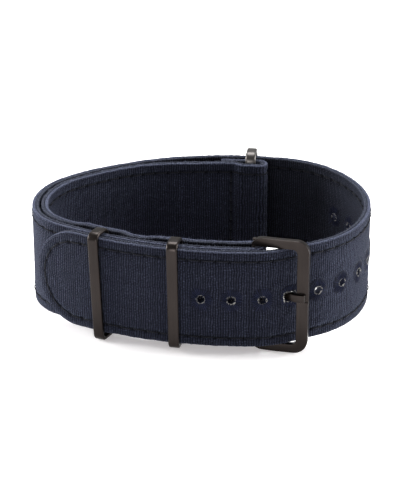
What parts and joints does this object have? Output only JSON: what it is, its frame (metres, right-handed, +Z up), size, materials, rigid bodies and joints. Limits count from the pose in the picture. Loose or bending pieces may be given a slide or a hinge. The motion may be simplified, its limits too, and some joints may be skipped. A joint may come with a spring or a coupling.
{
  "type": "wrist strap",
  "caption": "Slip-through canvas wrist strap for a tracker or watch, buckled into a loop, with a metal frame buckle, tang, flat band keepers, embroidered eyelets and a flap with its own ring.",
  "frame": {"origin": "centre of the base of the bounding box: on the ground, in the middle of the loop's length and depth", "axes": "+X along the buckled front towards the buckle, +Y through the loop from the buckled front to the back, +Z up across the strap's width"},
  "size_m": [0.0686, 0.0527, 0.0237],
  "materials": {
    "canvas": "woven navy canvas, matt",
    "lining": "woven navy canvas, matt, inner side",
    "thread": "near-black polyester sewing and embroidery thread",
    "gunmetal": "dark gunmetal coating on steel, satin, worn brighter on edges"
  },
  "bodies": {
    "strap": {"main_face_ply": "canvas", "main_lining_ply": "lining", "main_stitching_upper": "thread", "main_stitching_lower": "thread", "tip_stitching": "thread", "flap_face_ply": "canvas", "flap_lining_ply": "lining", "flap_stitching_upper": "thread", "flap_stitching_lower": "thread", "ring_loop_seam": "thread", "buckle_seam": "thread", "keeper_seam_middle": "thread", "keeper_seam_left": "thread", "eyelet_1": "thread", "eyelet_2": "thread", "eyelet_3": "thread", "eyelet_4": "thread", "eyelet_5": "thread", "eyelet_6": "thread", "eyelet_7": "thread", "eyelet_8": "thread", "eyelet_9": "thread", "eyelet_10": "thread", "eyelet_11": "thread", "eyelet_12": "thread"},
    "buckle": {"buckle_frame": "gunmetal", "buckle_bar": "gunmetal"},
    "tang": {"buckle_tang": "gunmetal"},
    "buckle_side_keeper": {"keeper_near_buckle": "gunmetal"},
    "tip_side_keeper": {"keeper_near_tip": "gunmetal"},
    "ring": {"flap_ring": "gunmetal"}
  },
  "joints": [
    {"name": "buckle_swing", "type": "hinge", "parent": "strap", "child": "buckle", "pos_m": [0.01029, -0.02235, 0.01185], "axis": [0, 0, 1], "range_deg": [-3, 2]},
    {"name": "tang_lift", "type": "hinge", "parent": "buckle", "child": "tang", "pos_m": [0.01029, -0.02235, 0.01185], "axis": [0, 0, 1], "range_deg": [-3, 0]},
    {"name": "buckle_side_keeper_shift", "type": "slide", "parent": "strap", "child": "buckle_side_keeper", "axis": [-0.974, 0.2264, 0], "range_m": [-0.001, 0.001]},
    {"name": "tip_side_keeper_shift", "type": "slide", "parent": "strap", "child": "tip_side_keeper", "axis": [-0.8937, 0.4487, 0], "range_m": [-0.001, 0.001]},
    {"name": "flap_ring_tilt", "type": "hinge", "parent": "strap", "child": "ring", "pos_m": [0.01039, 0.02077, 0.01185], "axis": [0, 0, 1], "range_deg": [-4, 4]}
  ]
}
